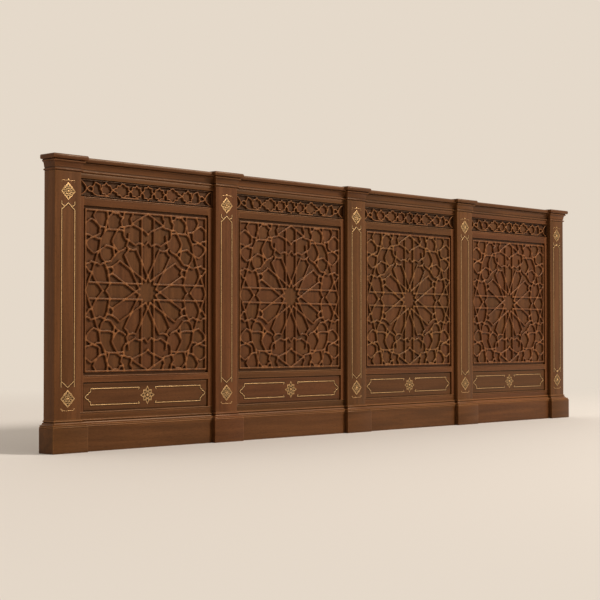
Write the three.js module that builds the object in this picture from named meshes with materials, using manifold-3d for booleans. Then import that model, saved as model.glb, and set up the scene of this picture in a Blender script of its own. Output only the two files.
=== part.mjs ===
// Carved timber dado screen: five posts and four framed bays on a moulded plinth,
// under a moulded cornice. Millimetres, +Z up, fronts face -Y, origin at floor centre.
import * as THREE from "three";
import { mergeVertices } from "three/addons/utils/BufferGeometryUtils.js";
import Module from "manifold-3d";

const wasm = await Module();
wasm.setup();

// Overall sizes
const height = 1200;
const bays = 4;
const postPitch = 874;
const postWidth = 130;
const projection = 22; // plinth blocks and capitals stand out from the posts by this
const gap = 0.3; // left between neighbouring pieces

// Depth planes, front negative
const backY = 47;
const postY = -25;
const frameY = -6; // rails and stiles
const strapY = -4; // top of the carved straps
const groundY = 5; // floor of the carving
const boardBackY = 29;
const dadoY = 0;

// Levels above the floor
const baseTop = 133;
const dadoLow = 161;
const dadoHigh = 281;
const mainLow = 309;
const mainHigh = 1004;
const friezeLow = 1040;
const friezeHigh = 1114;
const corniceLow = 1134;
const runTop = 1196; // the cornice of a bay stops just under the capitals

// Members
const stileWidth = 28;
const stepWidth = 5; // sunk edge round each panel opening
const stepDepth = 3;
const arris = 2;
const strapWidth = 11;
const borderWidth = 11;
const carvedReach = 332; // from the middle of the panel to the middle of its border strap
const friezeStrap = 8;
const friezeLinks = 9;
const friezeSwing = 0.36; // of the frieze height
const inlayWidth = 4.5;
const inlayProud = 0.9;
const inlayHalf = 33;
const inlayShoulderLow = 287;
const inlayShoulderHigh = 980;
const inlayApexLow = 262;
const inlayApexHigh = 1006;
const starOuter = 37;
const starInner = 27;
const starPoints = 8;
const starZ = 220;

// Rosette, as fractions of half the carved square
const rayCount = 12;
const rayOffset = 0.1; // each ray pair runs this far from its axis
const petalEnd = 0.585;
const crownTip = 0.65;
const axialEnd = 0.935;
const axialCrown = 0.61;
const axialTip = 0.68;
// One quarter of the straps outside the petals, mirrored to the other three
const outerRuns = [
  [[1, 0], [0.8, 0.45], [0.755, 0.66], [0.7, 0.77], [0.48, 0.765], [0, 1]],
  [[0.73, 0], [0.885, 0.22]],
  [[0, 0.725], [0.28, 0.84]],
  [[0.61, 0.1], [0.7, 0.335], [0.84, 0.335]],
  [[0.1, 0.61], [0.32, 0.635], [0.39, 0.79]],
  [[0.32, 0.635], [0.46, 0.48], [0.57, 0.61], [0.48, 0.765]],
];

// Moulding profiles: [outward, height], bottom to top
const baseProfile = [
  [1, 0], [1, 0.735], [0.93, 0.745], [0.93, 0.775], [0.82, 0.785], [0.82, 0.82],
  [0.7, 0.83], [0.36, 0.92], [0.2, 0.93], [0.2, 0.95], [0.3, 0.955], [0.3, 0.99], [0.2, 1],
];
const corniceProfile = [
  [0.2, 0], [0.36, 0.03], [0.36, 0.12], [0.2, 0.15], [0.25, 0.3], [0.45, 0.45],
  [0.7, 0.51], [0.7, 0.62], [0.84, 0.65], [1, 0.73], [1, 0.92], [0.86, 1],
];

const walnut = new THREE.MeshStandardMaterial({ color: 0x67422a, roughness: 0.5, metalness: 0 });
walnut.name = "walnut";
const gilding = new THREE.MeshStandardMaterial({ color: 0xbe965a, roughness: 0.35, metalness: 1 });
gilding.name = "gilding";

const clearWidth = postPitch - postWidth;
const runLength = clearWidth - 2 * projection;
const screen = new THREE.Group();
screen.name = "carved_dado_screen";

function toManifold(geometry) {
  const bare = geometry.clone();
  bare.deleteAttribute("normal");
  bare.deleteAttribute("uv");
  const welded = mergeVertices(bare, 1e-4);
  return new wasm.Manifold(new wasm.Mesh({
    numProp: 3,
    vertProperties: new Float32Array(welded.attributes.position.array),
    triVerts: new Uint32Array(welded.index.array),
  }));
}

function fromManifold(solid) {
  const mesh = solid.getMesh();
  const geometry = new THREE.BufferGeometry();
  geometry.setAttribute("position", new THREE.BufferAttribute(mesh.vertProperties, 3));
  geometry.setIndex(new THREE.BufferAttribute(mesh.triVerts, 1));
  return geometry;
}

function add(name, geometry, material, x = 0) {
  const mesh = new THREE.Mesh(geometry.clone().translate(x, 0, 0), material);
  mesh.name = name;
  screen.add(mesh);
}

// A flat outline in X and Z, thickened from front to back
function slab(outline, front, back, holes = []) {
  const shape = new THREE.Shape(outline.map(([x, z]) => new THREE.Vector2(x, z)));
  for (const hole of holes) {
    shape.holes.push(new THREE.Path(hole.map(([x, z]) => new THREE.Vector2(x, z))));
  }
  const depth = back - front;
  const geometry = new THREE.ExtrudeGeometry(shape, { depth, bevelEnabled: false });
  return geometry.rotateX(Math.PI / 2).translate(0, back, 0);
}

function rectangle(x0, z0, x1, z1) {
  return [[x0, z0], [x1, z0], [x1, z1], [x0, z1]];
}

// A section in Y and Z, run along X
function runAlongX(section, x0, x1) {
  const shape = new THREE.Shape(section.map(([y, z]) => new THREE.Vector2(y, z)));
  const geometry = new THREE.ExtrudeGeometry(shape, { depth: x1 - x0, bevelEnabled: false });
  const turn = new THREE.Matrix4().makeBasis(
    new THREE.Vector3(0, 1, 0),
    new THREE.Vector3(0, 0, 1),
    new THREE.Vector3(1, 0, 0),
  );
  return geometry.applyMatrix4(turn).translate(x0, 0, 0);
}

// A section in X and Y, stood up along Z
function runAlongZ(section, z0, z1) {
  const shape = new THREE.Shape(section.map(([x, y]) => new THREE.Vector2(x, y)));
  const geometry = new THREE.ExtrudeGeometry(shape, { depth: z1 - z0, bevelEnabled: false });
  return geometry.translate(0, 0, z0);
}

// A block moulded on its front and both sides, mitred at the corners
function mouldedBlock(profile, halfWidth, front, low, high) {
  const positions = [];
  const index = [];
  for (const [out, up] of profile) {
    const reach = out * projection;
    const z = low + up * (high - low);
    const side = halfWidth + reach;
    const face = front - reach;
    positions.push(-side, face, z, side, face, z, side, backY, z, -side, backY, z);
  }
  for (let ring = 0; ring < profile.length - 1; ring += 1) {
    for (let corner = 0; corner < 4; corner += 1) {
      const a = ring * 4 + corner;
      const b = ring * 4 + ((corner + 1) % 4);
      index.push(a, b, b + 4, a, b + 4, a + 4);
    }
  }
  const last = (profile.length - 1) * 4;
  index.push(0, 2, 1, 0, 3, 2, last, last + 1, last + 2, last, last + 2, last + 3);
  const geometry = new THREE.BufferGeometry();
  geometry.setAttribute("position", new THREE.Float32BufferAttribute(positions, 3));
  geometry.setIndex(index);
  return geometry;
}

function mouldedFront(profile, low, high) {
  return profile.map(([out, up]) => [frameY - out * projection, low + up * (high - low)]);
}

// A strap of even width along a run of knots, mitred at each one
function strap(knots, width, front, back) {
  const left = [];
  const right = [];
  knots.forEach(([x, z], i) => {
    const before = knots[Math.max(i - 1, 0)];
    const after = knots[Math.min(i + 1, knots.length - 1)];
    const inward = Math.atan2(z - before[1], x - before[0]);
    const outward = Math.atan2(after[1] - z, after[0] - x);
    const first = i === 0 ? outward : inward;
    const last = i === knots.length - 1 ? inward : outward;
    const normal = Math.atan2(Math.sin(first) + Math.sin(last), Math.cos(first) + Math.cos(last));
    const side = width / 2 / Math.cos(normal - first);
    const dx = -side * Math.sin(normal);
    const dz = side * Math.cos(normal);
    left.push([x + dx, z + dz]);
    right.unshift([x - dx, z - dz]);
  });
  return slab([...left, ...right], front, back);
}

function rosetteRuns() {
  const runs = [];
  for (let ray = 0; ray < rayCount; ray += 1) {
    const angle = (ray * 2 * Math.PI) / rayCount;
    const place = ([t, s]) => [
      t * Math.cos(angle) - s * Math.sin(angle),
      t * Math.sin(angle) + s * Math.cos(angle),
    ];
    const near = rayOffset;
    if (ray % 3 === 0) {
      runs.push([[near, -near], [axialEnd, -near]].map(place));
      runs.push([[near, near], [axialEnd, near]].map(place));
      runs.push([[axialCrown, -near], [axialTip, 0], [axialCrown, near]].map(place));
    } else {
      const petal = [[near, -near], [petalEnd, -near], [crownTip, 0], [petalEnd, near], [near, near]];
      runs.push(petal.map(place));
    }
  }
  for (const run of outerRuns) {
    for (const [mx, mz] of [[1, 1], [-1, 1], [1, -1], [-1, -1]]) {
      runs.push(run.map(([x, z]) => [x * mx, z * mz]));
    }
  }
  return runs;
}

// The border strap lies between two margins measured in from the board's edges
function carvedBoard(halfWidth, low, high, runs, width, outer, inner) {
  const board = toManifold(slab(rectangle(-halfWidth, low, halfWidth, high), groundY, boardBackY));
  const frame = toManifold(slab(
    rectangle(-halfWidth + outer[0], low + outer[1], halfWidth - outer[0], high - outer[1]),
    strapY,
    groundY + 1,
    [rectangle(-halfWidth + inner[0], low + inner[1], halfWidth - inner[0], high - inner[1])],
  ));
  const straps = runs.map((run) => toManifold(strap(run, width, strapY, groundY + 1)));
  const limit = toManifold(slab(rectangle(-halfWidth, low, halfWidth, high), strapY, boardBackY));
  const joined = wasm.Manifold.union([board, frame, ...straps]);
  return fromManifold(wasm.Manifold.intersection(joined, limit));
}

const middle = (mainLow + mainHigh) / 2;
const panelHalf = clearWidth / 2 - stileWidth - gap;
const margins = [panelHalf - carvedReach, (mainHigh - mainLow) / 2 - gap - carvedReach];
const mainRuns = rosetteRuns().map((run) => run.map(([x, z]) => [x * carvedReach, middle + z * carvedReach]));
const mainPanel = carvedBoard(
  panelHalf,
  mainLow + gap,
  mainHigh - gap,
  mainRuns,
  strapWidth,
  margins.map((margin) => margin - borderWidth / 2),
  margins.map((margin) => margin + borderWidth / 2),
);

const friezeMiddle = (friezeLow + friezeHigh) / 2;
const friezeHalf = clearWidth / 2 - gap; // as far as the posts
const link = (2 * friezeHalf) / friezeLinks;
const swing = friezeSwing * (friezeHigh - friezeLow);
const friezeRuns = [1, -1].map((way) => {
  const knots = [];
  for (let half = 0; half <= friezeLinks * 2; half += 1) {
    const lift = half % 2 === 0 ? 0 : way * swing;
    knots.push([-friezeHalf + (half * link) / 2, friezeMiddle + lift]);
  }
  return knots;
});
const frieze = carvedBoard(
  friezeHalf,
  friezeLow + gap,
  friezeHigh - gap,
  friezeRuns,
  friezeStrap,
  [0, 0],
  [stepWidth, stepWidth],
);

// Rails and stiles with a sunk step beside each opening
function rail(low, high, halfWidth, stepLow, stepHigh) {
  const section = [[backY, low]];
  if (stepLow) {
    section.unshift([frameY, low + stepWidth], [frameY + stepDepth, low + stepWidth]);
    section.splice(2, 0, [frameY + stepDepth, low]);
  } else {
    section.unshift([frameY, low]);
  }
  section.push([backY, high]);
  if (stepHigh) {
    section.push([frameY + stepDepth, high]);
    section.push([frameY + stepDepth, high - stepWidth], [frameY, high - stepWidth]);
  } else {
    section.push([frameY, high]);
  }
  return runAlongX(section, -halfWidth, halfWidth);
}

function stile(inward) {
  const outer = inward * -stileWidth / 2 + inward * gap;
  const inner = inward * stileWidth / 2;
  const section = [
    [outer, frameY],
    [inner - inward * stepWidth, frameY],
    [inner - inward * stepWidth, frameY + stepDepth],
    [inner, frameY + stepDepth],
    [inner, backY],
    [outer, backY],
  ];
  return runAlongZ(section, dadoLow + gap, friezeLow - gap);
}

const runHalf = runLength / 2 - gap;

// The moulded part stops at the blocks, and the rail behind it reaches the posts
function mouldedRail(section, railSolid) {
  const run = toManifold(runAlongX(section, -runHalf, runHalf));
  return fromManifold(wasm.Manifold.union(run, toManifold(railSolid)));
}

const baseRail = mouldedRail(
  [...mouldedFront(baseProfile, 0, baseTop), [frameY, baseTop + 1], [backY, baseTop + 1], [backY, 0]],
  rail(baseTop + gap, dadoLow, friezeHalf, false, true),
);
const corniceRail = mouldedRail(
  [
    [frameY, corniceLow - 1],
    ...mouldedFront(corniceProfile, corniceLow, runTop),
    [backY, runTop],
    [backY, corniceLow - 1],
  ],
  rail(friezeHigh, corniceLow - gap, friezeHalf, true, false),
);

function starRing() {
  const outline = [];
  const hole = [];
  for (let k = 0; k < starPoints * 2; k += 1) {
    const angle = (k * Math.PI) / starPoints;
    const radius = k % 2 === 0 ? starOuter : starInner;
    const inside = radius - inlayWidth * 1.3;
    outline.push([radius * Math.cos(angle), starZ + radius * Math.sin(angle)]);
    hole.push([inside * Math.cos(angle), starZ + inside * Math.sin(angle)]);
  }
  const front = dadoY - gap - inlayProud;
  return slab(outline, front, dadoY - gap, [hole]);
}

function postFrame() {
  const outline = [
    [-inlayHalf, inlayShoulderLow], [0, inlayApexLow], [inlayHalf, inlayShoulderLow],
    [inlayHalf, inlayShoulderHigh], [0, inlayApexHigh], [-inlayHalf, inlayShoulderHigh],
  ];
  const inset = inlayHalf - inlayWidth;
  const hole = [
    [-inset, inlayShoulderLow + inlayWidth / 2], [0, inlayApexLow + inlayWidth * 1.3],
    [inset, inlayShoulderLow + inlayWidth / 2], [inset, inlayShoulderHigh - inlayWidth / 2],
    [0, inlayApexHigh - inlayWidth * 1.3], [-inset, inlayShoulderHigh - inlayWidth / 2],
  ];
  return slab(outline, postY - gap - inlayProud, postY - gap, [hole]);
}

const postSection = [
  [-postWidth / 2, postY + arris], [-postWidth / 2 + arris, postY],
  [postWidth / 2 - arris, postY], [postWidth / 2, postY + arris],
  [postWidth / 2, backY], [-postWidth / 2, backY],
];

for (let post = 0; post <= bays; post += 1) {
  const x = (post - bays / 2) * postPitch;
  const number = post + 1;
  const block = mouldedBlock(baseProfile, postWidth / 2, postY, 0, baseTop);
  const capital = mouldedBlock(corniceProfile, postWidth / 2, postY, corniceLow, height);
  add(`plinth_block_${number}`, block, walnut, x);
  add(`post_${number}`, runAlongZ(postSection, baseTop + gap, corniceLow - gap), walnut, x);
  add(`capital_${number}`, capital, walnut, x);
  add(`post_inlay_${number}`, postFrame(), gilding, x);
}

for (let bay = 0; bay < bays; bay += 1) {
  const x = (bay - (bays - 1) / 2) * postPitch;
  const number = bay + 1;
  const stileX = clearWidth / 2 - stileWidth / 2;
  const dado = slab(
    rectangle(-panelHalf, dadoLow + gap, panelHalf, dadoHigh - gap),
    dadoY,
    boardBackY,
  );
  add(`base_rail_${number}`, baseRail, walnut, x);
  add(`stile_left_${number}`, stile(1), walnut, x - stileX);
  add(`stile_right_${number}`, stile(-1), walnut, x + stileX);
  add(`dado_panel_${number}`, dado, walnut, x);
  add(`dado_inlay_${number}`, starRing(), gilding, x);
  add(`mid_rail_${number}`, rail(dadoHigh, mainLow, panelHalf, true, true), walnut, x);
  add(`main_panel_${number}`, mainPanel, walnut, x);
  add(`frieze_rail_${number}`, rail(mainHigh, friezeLow, panelHalf, true, true), walnut, x);
  add(`frieze_${number}`, frieze, walnut, x);
  add(`cornice_${number}`, corniceRail, walnut, x);
}

export default screen;
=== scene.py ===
import math
import random

import bpy
import bmesh
from mathutils import Euler, Matrix, Vector
from mathutils.geometry import delaunay_2d_cdt


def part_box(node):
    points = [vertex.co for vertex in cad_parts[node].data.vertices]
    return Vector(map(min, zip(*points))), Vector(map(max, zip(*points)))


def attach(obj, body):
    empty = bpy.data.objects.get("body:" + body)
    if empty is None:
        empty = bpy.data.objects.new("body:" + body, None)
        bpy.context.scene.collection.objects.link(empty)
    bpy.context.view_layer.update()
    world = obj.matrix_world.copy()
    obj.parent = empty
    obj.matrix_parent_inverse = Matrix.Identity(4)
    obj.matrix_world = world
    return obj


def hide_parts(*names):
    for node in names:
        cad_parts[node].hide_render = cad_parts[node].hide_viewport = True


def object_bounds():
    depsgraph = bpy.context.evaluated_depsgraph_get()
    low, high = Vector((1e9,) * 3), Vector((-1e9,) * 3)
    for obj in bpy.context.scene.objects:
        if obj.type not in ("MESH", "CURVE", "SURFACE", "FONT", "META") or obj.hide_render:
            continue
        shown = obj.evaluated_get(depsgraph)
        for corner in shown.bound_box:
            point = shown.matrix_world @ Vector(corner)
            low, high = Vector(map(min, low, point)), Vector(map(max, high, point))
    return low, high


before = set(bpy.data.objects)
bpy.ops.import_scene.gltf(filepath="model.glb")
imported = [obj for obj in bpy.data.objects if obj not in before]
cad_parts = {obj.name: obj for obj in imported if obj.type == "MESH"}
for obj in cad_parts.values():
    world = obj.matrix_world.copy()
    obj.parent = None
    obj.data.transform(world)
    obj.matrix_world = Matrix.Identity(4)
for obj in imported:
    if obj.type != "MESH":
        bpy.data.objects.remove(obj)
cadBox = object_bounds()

mm = 0.001
bayNumbers = (1, 2, 3, 4)
postNumbers = (1, 2, 3, 4, 5)
toUpright = Euler((math.pi / 2, 0, 0)).to_matrix().to_4x4()  # flat work stands up to face the room

# Camera, light and floor
studio = {
    "lens": 85.56,
    "cameraPlace": (-5.2381, -4.6633, 0.4656),
    "cameraTilt": 0.02289,
    "cameraTurn": -0.80643,
    "cameraShift": 0.0073,
    "roomColour": (0.783, 0.694, 0.591),
    "roomStrength": 1.0,
    "dimInFront": 0.66,
    "dimFrom": -0.35,
    "dimTo": 0.25,
    "floorColour": (0.67, 0.645, 0.625),
    "floorRadius": 60,
    "fadeFrom": 2.0,
    "fadeTo": 6.5,
    "keyPlace": (9.3, -12.0, 10.4),
    "keySize": 3.9,
    "keyPower": 3400,
    "keyColour": (1.0, 0.92, 0.82),
}


def areaLight(name, place, size, power, colour, aim):
    lamp = bpy.data.lights.new(name, "AREA")
    lamp.shape = "DISK"
    lamp.size = size
    lamp.energy = power
    lamp.color = colour
    holder = bpy.data.objects.new(name, lamp)
    bpy.context.scene.collection.objects.link(holder)
    holder.location = place
    holder.rotation_euler = (Vector(aim) - Vector(place)).to_track_quat("-Z", "Y").to_euler()


def wire(tree, source, target):
    tree.links.new(source, target)


def node(tree, kind, **settings):
    made = tree.nodes.new(kind)
    for key, value in settings.items():
        setattr(made, key, value)
    return made


def give(made, values):
    for key, value in values.items():
        made.inputs[key].default_value = value


cameraData = bpy.data.cameras.new("camera")
cameraData.lens = studio["lens"]
cameraData.sensor_width = 36
cameraData.shift_y = studio["cameraShift"]
camera = bpy.data.objects.new("camera", cameraData)
camera.location = studio["cameraPlace"]
camera.rotation_euler = (math.pi / 2 + studio["cameraTilt"], 0, studio["cameraTurn"])
bpy.context.scene.collection.objects.link(camera)
bpy.context.scene.camera = camera
bpy.context.scene.view_settings.view_transform = "Standard"

room = bpy.data.worlds.new("room")
room.use_nodes = True
bpy.context.scene.world = room
roomLight = room.node_tree.nodes["Background"]
roomLight.inputs["Color"].default_value = (*studio["roomColour"], 1)
way = node(room.node_tree, "ShaderNodeTexCoord")
parts = node(room.node_tree, "ShaderNodeSeparateXYZ")
dim = node(room.node_tree, "ShaderNodeMapRange", interpolation_type="SMOOTHSTEP")  # darker in front
give(dim, {
    "From Min": studio["dimFrom"], "From Max": studio["dimTo"],
    "To Min": studio["dimInFront"] * studio["roomStrength"], "To Max": studio["roomStrength"],
})
wire(room.node_tree, way.outputs["Generated"], parts.inputs[0])
wire(room.node_tree, parts.outputs["Y"], dim.inputs["Value"])
wire(room.node_tree, dim.outputs["Result"], roomLight.inputs["Strength"])

middle = (Vector(cadBox[0]) + Vector(cadBox[1])) / 2
areaLight("key", studio["keyPlace"], studio["keySize"], studio["keyPower"], studio["keyColour"], middle)


def floorFinish():
    made = bpy.data.materials.new("floor_paper")
    made.use_nodes = True
    tree = made.node_tree
    tree.nodes.clear()
    place = node(tree, "ShaderNodeTexCoord")
    length = node(tree, "ShaderNodeVectorMath", operation="LENGTH")
    wire(tree, place.outputs["Object"], length.inputs[0])
    fade = node(tree, "ShaderNodeMapRange", interpolation_type="SMOOTHSTEP")
    give(fade, {"From Min": studio["fadeFrom"], "From Max": studio["fadeTo"]})
    wire(tree, length.outputs["Value"], fade.inputs["Value"])
    paper = node(tree, "ShaderNodeBsdfPrincipled")
    give(paper, {"Base Color": (*studio["floorColour"], 1), "Roughness": 0.8, "Specular IOR Level": 0.2})
    glow = node(tree, "ShaderNodeEmission")
    give(glow, {"Color": (*studio["roomColour"], 1), "Strength": studio["roomStrength"]})
    mix = node(tree, "ShaderNodeMixShader")
    wire(tree, fade.outputs["Result"], mix.inputs["Fac"])
    wire(tree, paper.outputs["BSDF"], mix.inputs[1])
    wire(tree, glow.outputs["Emission"], mix.inputs[2])
    output = node(tree, "ShaderNodeOutputMaterial")
    wire(tree, mix.outputs["Shader"], output.inputs["Surface"])
    return made


floorMesh = bpy.data.meshes.new("floor")
floorTurns = [k * math.pi / 32 for k in range(64)]
floorCorners = [
    (studio["floorRadius"] * math.cos(a), studio["floorRadius"] * math.sin(a), 0) for a in floorTurns
]
floorMesh.from_pydata(floorCorners, [], [tuple(range(64))])
floorMesh.materials.append(floorFinish())
floor = bpy.data.objects.new("floor", floorMesh)
bpy.context.scene.collection.objects.link(floor)
print("studio ready")

# Finishes
walnutLook = {
    "dark": (0.046, 0.0150, 0.0045),
    "middle": (0.096, 0.0330, 0.0100),
    "light": (0.152, 0.0550, 0.0170),
    "red": (0.116, 0.0340, 0.0110),
    "olive": (0.094, 0.0390, 0.0100),
    "along": 2.2,
    "across": 48,
    "figureAlong": 0.9,
    "figureAcross": 9,
    "poreAlong": 60,
    "poreAcross": 900,
    "roughness": 0.36,
    "shine": 0.24,
    "shineTint": (1.0, 0.70, 0.44),
    "bump": 0.22,
    "poreDepth": 0.0004,
    "poreDark": 0.45,
    "poreShare": 0.7,
    "figureShare": 0.45,
    "stain": 0.4,
    "toneSlide": (7.3, 5.1, 9.7),  # how far a board's own tone moves its grain
    # painted shade: how far and how dark the corners and recesses are darkened
    "paintedShadeReach": 0.015,
    "paintedShadeDark": 0.40,
    "paintedShadeRange": (0.25, 0.92),  # how enclosed a corner is, from full painted shade to none
    # painted highlight: how near an edge, how much paler, and over what range
    "paintedHighlightReach": 0.0052,
    "paintedHighlightColour": (2.0, 2.3, 2.5),
    "paintedHighlightRange": (0.45, 0.95),
}
gildingLook = {
    "bright": (0.55, 0.345, 0.16),
    "dull": (0.30, 0.172, 0.066),
    "roughness": 0.42,
    "grain": 160,
    "bump": 0.25,
    "bumpDepth": 0.0003,
}


def walnutFinish(name, grain, brightness=1.0, paintedEdgeHighlight=True):
    look = walnutLook
    made = bpy.data.materials.new(name)
    made.use_nodes = True
    tree = made.node_tree
    shader = tree.nodes["Principled BSDF"]
    give(shader, {"Specular IOR Level": look["shine"], "Specular Tint": (*look["shineTint"], 1)})

    def stretched(along, across):
        scale = [across, across, across]
        scale["XYZ".index(grain)] = along
        return scale

    place = node(tree, "ShaderNodeTexCoord")
    tone = node(tree, "ShaderNodeAttribute", attribute_name="tone")
    slide = node(tree, "ShaderNodeVectorMath", operation="SCALE")
    slide.inputs[0].default_value = look["toneSlide"]
    wire(tree, tone.outputs["Fac"], slide.inputs["Scale"])
    own = node(tree, "ShaderNodeVectorMath", operation="ADD")
    wire(tree, place.outputs["Object"], own.inputs[0])
    wire(tree, slide.outputs["Vector"], own.inputs[1])

    def grainNoise(scale, detail, distortion):
        spread = node(tree, "ShaderNodeMapping")
        spread.inputs["Scale"].default_value = scale
        wire(tree, own.outputs["Vector"], spread.inputs["Vector"])
        made = node(tree, "ShaderNodeTexNoise")
        give(made, {"Scale": 1, "Detail": detail, "Distortion": distortion})
        wire(tree, spread.outputs["Vector"], made.inputs["Vector"])
        return made.outputs["Fac"]

    fibre = grainNoise(stretched(look["along"], look["across"]), 5, 0.5)
    figure = grainNoise(stretched(look["figureAlong"], look["figureAcross"]), 3, 1.4)
    pore = grainNoise(stretched(look["poreAlong"], look["poreAcross"]), 2, 0)

    blend = node(tree, "ShaderNodeMix", data_type="FLOAT")
    blend.inputs["Factor"].default_value = look["figureShare"]
    wire(tree, fibre, blend.inputs[2])
    wire(tree, figure, blend.inputs[3])
    ramp = node(tree, "ShaderNodeValToRGB")
    stops = ((0.34, "dark"), (0.50, "middle"), (0.66, "light"))
    ramp.color_ramp.elements.new(0.5)
    for element, (spot, key) in zip(ramp.color_ramp.elements, stops):
        element.position = spot
        element.color = (*(c * brightness for c in look[key]), 1)
    wire(tree, blend.outputs[0], ramp.inputs["Fac"])

    hue = node(tree, "ShaderNodeMix", data_type="RGBA")
    give(hue, {
        6: (*(c * brightness for c in look["red"]), 1), 7: (*(c * brightness for c in look["olive"]), 1),
    })
    wire(tree, tone.outputs["Fac"], hue.inputs["Factor"])
    stain = node(tree, "ShaderNodeMix", data_type="RGBA")
    stain.inputs["Factor"].default_value = look["stain"]
    wire(tree, ramp.outputs["Color"], stain.inputs[6])
    wire(tree, hue.outputs[2], stain.inputs[7])

    poreRamp = node(tree, "ShaderNodeValToRGB")
    poreRamp.color_ramp.elements[0].position = 0.34
    poreRamp.color_ramp.elements[0].color = (*[look["poreDark"]] * 3, 1)
    poreRamp.color_ramp.elements[1].position = 0.46
    wire(tree, pore, poreRamp.inputs["Fac"])
    colour = node(tree, "ShaderNodeMix", data_type="RGBA", blend_type="MULTIPLY")
    colour.inputs["Factor"].default_value = look["poreShare"]
    wire(tree, stain.outputs[2], colour.inputs[6])
    wire(tree, poreRamp.outputs["Color"], colour.inputs[7])
    corner = node(tree, "ShaderNodeAmbientOcclusion", samples=8)  # painted shade: the corners and recesses are darkened
    corner.inputs["Distance"].default_value = look["paintedShadeReach"]
    paintedShadeLevel = node(tree, "ShaderNodeMapRange")
    closed, clear = look["paintedShadeRange"]
    give(paintedShadeLevel, {"From Min": closed, "From Max": clear, "To Min": look["paintedShadeDark"]})
    wire(tree, corner.outputs["AO"], paintedShadeLevel.inputs["Value"])
    paintedLightColour = node(tree, "ShaderNodeMix", data_type="RGBA", blend_type="MULTIPLY")
    paintedLightColour.inputs["Factor"].default_value = 1
    wire(tree, colour.outputs[2], paintedLightColour.inputs[6])
    wire(tree, paintedShadeLevel.outputs["Result"], paintedLightColour.inputs[7])
    if paintedEdgeHighlight:  # painted highlight: the convex edges are made paler
        edge = node(tree, "ShaderNodeAmbientOcclusion", samples=6, inside=True, only_local=True)
        edge.inputs["Distance"].default_value = look["paintedHighlightReach"]
        highlightShare = node(tree, "ShaderNodeMapRange")
        sharp, flat = look["paintedHighlightRange"]
        give(highlightShare, {"From Min": sharp, "From Max": flat, "To Min": 1, "To Max": 0})
        wire(tree, edge.outputs["AO"], highlightShare.inputs["Value"])
        lift = node(tree, "ShaderNodeMix", data_type="RGBA")
        give(lift, {6: (1, 1, 1, 1), 7: (*look["paintedHighlightColour"], 1)})
        wire(tree, highlightShare.outputs["Result"], lift.inputs["Factor"])
        edgeHighlighted = node(tree, "ShaderNodeMix", data_type="RGBA", blend_type="MULTIPLY")
        edgeHighlighted.inputs["Factor"].default_value = 1
        wire(tree, paintedLightColour.outputs[2], edgeHighlighted.inputs[6])
        wire(tree, lift.outputs[2], edgeHighlighted.inputs[7])
        paintedLightColour = edgeHighlighted
    wire(tree, paintedLightColour.outputs[2], shader.inputs["Base Color"])

    gloss = node(tree, "ShaderNodeMapRange")
    give(gloss, {"To Min": look["roughness"] - 0.08, "To Max": look["roughness"] + 0.14})
    wire(tree, fibre, gloss.inputs["Value"])
    wire(tree, gloss.outputs["Result"], shader.inputs["Roughness"])

    relief = node(tree, "ShaderNodeBump")
    give(relief, {"Strength": look["bump"], "Distance": look["poreDepth"]})
    wire(tree, pore, relief.inputs["Height"])
    wire(tree, relief.outputs["Normal"], shader.inputs["Normal"])
    return made


def gildingFinish(name, brightness=1.0):
    look = gildingLook
    made = bpy.data.materials.new(name)
    made.use_nodes = True
    tree = made.node_tree
    shader = tree.nodes["Principled BSDF"]
    shader.inputs["Metallic"].default_value = 1
    place = node(tree, "ShaderNodeTexCoord")
    cloud = node(tree, "ShaderNodeTexNoise")
    give(cloud, {"Scale": look["grain"], "Detail": 4})
    wire(tree, place.outputs["Object"], cloud.inputs["Vector"])
    ramp = node(tree, "ShaderNodeValToRGB")
    ramp.color_ramp.elements[0].position = 0.3
    ramp.color_ramp.elements[0].color = (*(c * brightness for c in look["dull"]), 1)
    ramp.color_ramp.elements[1].position = 0.55
    ramp.color_ramp.elements[1].color = (*(c * brightness for c in look["bright"]), 1)
    wire(tree, cloud.outputs["Fac"], ramp.inputs["Fac"])
    wire(tree, ramp.outputs["Color"], shader.inputs["Base Color"])
    gloss = node(tree, "ShaderNodeMapRange")
    give(gloss, {"To Min": look["roughness"] + 0.14, "To Max": look["roughness"] - 0.06})
    wire(tree, cloud.outputs["Fac"], gloss.inputs["Value"])
    wire(tree, gloss.outputs["Result"], shader.inputs["Roughness"])
    relief = node(tree, "ShaderNodeBump")
    give(relief, {"Strength": look["bump"], "Distance": look["bumpDepth"]})
    wire(tree, cloud.outputs["Fac"], relief.inputs["Height"])
    wire(tree, relief.outputs["Normal"], shader.inputs["Normal"])
    return made


uprightWalnut = walnutFinish("walnut_upright", "Z", 0.94)
levelWalnut = walnutFinish("walnut_level", "X", 0.84)
# painted highlight: a lighter copy of the walnut for the plinth mouldings
highlightedBandWalnut = walnutFinish("walnut_painted_highlight_bands", "X", 1.14)
groundWalnut = walnutFinish("walnut_ground", "Z", 0.82, False)
strapWalnut = walnutFinish("walnut_straps", "Z", 0.94)
friezeStraps = walnutFinish("walnut_frieze_straps", "X", 0.94)
# painted shade: a dark copy of the walnut for a frieze's outer cells and border
shadedCellWalnut = walnutFinish("walnut_painted_shade_cells", "X", 0.48, False)
dadoWalnut = walnutFinish("walnut_dado", "X", 0.72)
# painted shade: a dark copy of the walnut for strips under the gilded lines and beds under the plates
shadeStripWalnut = walnutFinish("walnut_painted_shade_strips", "Z", 0.3, False)
gilding = gildingFinish("gilding")
oldGilding = gildingFinish("gilding_worn", 0.62)
print("finishes ready")

# Making and joining meshes

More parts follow.
